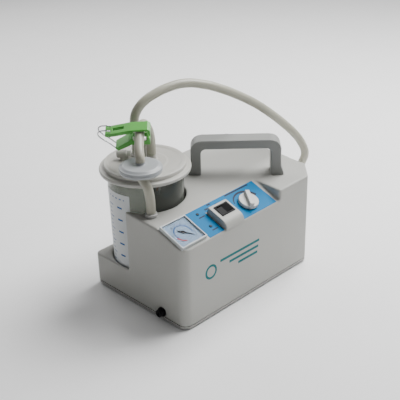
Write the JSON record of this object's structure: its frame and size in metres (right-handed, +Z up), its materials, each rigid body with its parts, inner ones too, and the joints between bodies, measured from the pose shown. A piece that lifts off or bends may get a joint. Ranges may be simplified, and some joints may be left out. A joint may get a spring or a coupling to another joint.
{
  "type": "suction pump",
  "caption": "portable electric suction pump: moulded case with gauge, switch and regulator, carrying handle, graduated jar with lid, filter, pinch clamp and patient hose",
  "frame": {"origin": "on the resting surface, under the middle of the whole unit measured without its free patient hose", "axes": "+X to the right along the case's length, the control panel faces -Y, +Z is up"},
  "size_m": [0.4371, 0.3392, 0.2932],
  "materials": {
    "housing": "moulded ABS, fine satin grain, warm light grey",
    "tray": "moulded ABS, satin, light grey",
    "feet": "soft black rubber",
    "screws": "zinc plated",
    "handle": "moulded ABS, satin, mid grey",
    "label": "printed film, satin, mid blue",
    "gauge_plastic": "moulded, light grey white",
    "dial": "printed dial, matt",
    "clear": "clear moulded cover",
    "brass": "turned brass",
    "black_plastic": "black moulding, satin",
    "lamp": "dark lens, unlit",
    "white_plastic": "moulded, white grey",
    "steel": "plated steel",
    "core": "laminated steel",
    "winding": "taped copper coils",
    "rubber": "black rubber",
    "grey_plastic": "glass-filled moulding, matt",
    "tube": "grey rubber tube",
    "board": "printed circuit board, matt",
    "jar_clear": "clear moulded jar, glossy",
    "scale_print": "printed scale",
    "lid_plastic": "translucent moulding, off white",
    "float_plastic": "moulded, orange",
    "filter_plastic": "translucent moulding, grey white",
    "membrane": "filter cloth",
    "hose": "translucent warm grey silicone tube",
    "clamp_green": "moulded, mid green",
    "wire": "bright spring wire"
  },
  "bodies": {
    "case": {"upper_housing": "housing", "base_tray": "tray", "rubber_feet": "feet", "housing_screws": "screws", "carry_handle": "handle", "handle_screws": "screws", "control_label": "label", "gauge_case": "gauge_plastic", "gauge_dial": "dial", "gauge_lens": "clear", "gauge_stem": "brass", "switch_boss": "white_plastic", "switch_body": "black_plastic", "indicator_lamps": "lamp", "regulator_body": "brass", "regulator_nut": "steel", "vacuum_port": "white_plastic", "fuse_holder": "black_plastic", "fuse_link": "steel", "power_inlet": "black_plastic", "pump_frame": "steel", "magnet_cores": "core", "coil_bobbins": "winding", "diaphragms": "rubber", "pump_heads": "grey_plastic", "valve_flaps": "rubber", "head_screws": "screws", "pump_mounts": "rubber", "silencer": "grey_plastic", "vacuum_tubes": "tube", "terminal_board": "board"},
    "needle": {"gauge_needle": "black_plastic"},
    "rocker": {"power_rocker": "black_plastic"},
    "knob": {"regulator_knob": "white_plastic"},
    "valve": {"regulator_needle": "steel"},
    "armature": {"armature": "steel"},
    "jar": {"suction_jar": "jar_clear", "jar_scale": "scale_print"},
    "lid": {"jar_lid": "lid_plastic", "lid_gasket": "rubber", "float_cage": "white_plastic", "filter_base": "filter_plastic", "filter_membrane": "membrane", "filter_cover": "filter_plastic", "bridge_hose": "hose", "filter_hose": "hose", "clamp_base": "clamp_green", "clamp_spring": "wire", "patient_hose": "hose", "hose_coil": "hose", "hose_tail": "hose", "suction_connector": "lid_plastic"},
    "float": {"float_ball": "float_plastic"},
    "clamp": {"clamp_lever": "clamp_green"},
    "fuse_cap": {"fuse_cap": "black_plastic"}
  },
  "joints": [
    {"name": "gauge_needle", "type": "hinge", "parent": "case", "child": "needle", "pos_m": [-0.1076, -0.07128, 0.13529], "axis": [-0.0141, -0.3338, 0.9425], "range_deg": [0, 270]},
    {"name": "power_rocker", "type": "hinge", "parent": "case", "child": "rocker", "pos_m": [-0.0332, -0.0756, 0.1423], "axis": [-0.005, 0.9426, 0.3338], "range_deg": [0, 20]},
    {"name": "regulator_turn", "type": "hinge", "parent": "case", "child": "knob", "pos_m": [0.01541, -0.0758, 0.13553], "axis": [-0.0141, -0.3338, 0.9425], "range_deg": [0, 270]},
    {"name": "regulator_needle", "type": "slide", "parent": "case", "child": "valve", "axis": [0.0141, 0.3338, -0.9425], "range_m": [0, 0.00076]},
    {"name": "armature_slide", "type": "slide", "parent": "case", "child": "armature", "axis": [1, 0, 0], "range_m": [-0.0015, 0.0015], "stiffness_N_per_m": 900, "deforming": ["diaphragms"]},
    {"name": "jar_lift", "type": "slide", "parent": "case", "child": "jar", "axis": [0, 0, 1], "range_m": [0, 0.14]},
    {"name": "lid_lift", "type": "slide", "parent": "jar", "child": "lid", "axis": [0, 0, 1], "range_m": [0, 0.055]},
    {"name": "float_rise", "type": "slide", "parent": "lid", "child": "float", "axis": [0, 0, 1], "range_m": [0, 0.012]},
    {"name": "clamp_squeeze", "type": "hinge", "parent": "lid", "child": "clamp", "pos_m": [-0.10362, 0.02609, 0.25626], "axis": [0.6725, 0.6725, 0.309], "range_deg": [-12, 0], "stiffness_Nm_per_rad": 0.6, "deforming": ["clamp_spring"]},
    {"name": "fuse_cap_turn", "type": "hinge", "parent": "case", "child": "fuse_cap", "pos_m": [-0.13275, -0.0511, 0.014], "axis": [1, 0, 0], "range_deg": [0, 45]}
  ],
  "couplings": [
    {"joint": "regulator_needle", "follows": "regulator_turn", "m_per_rad": 0.00015915}
  ]
}
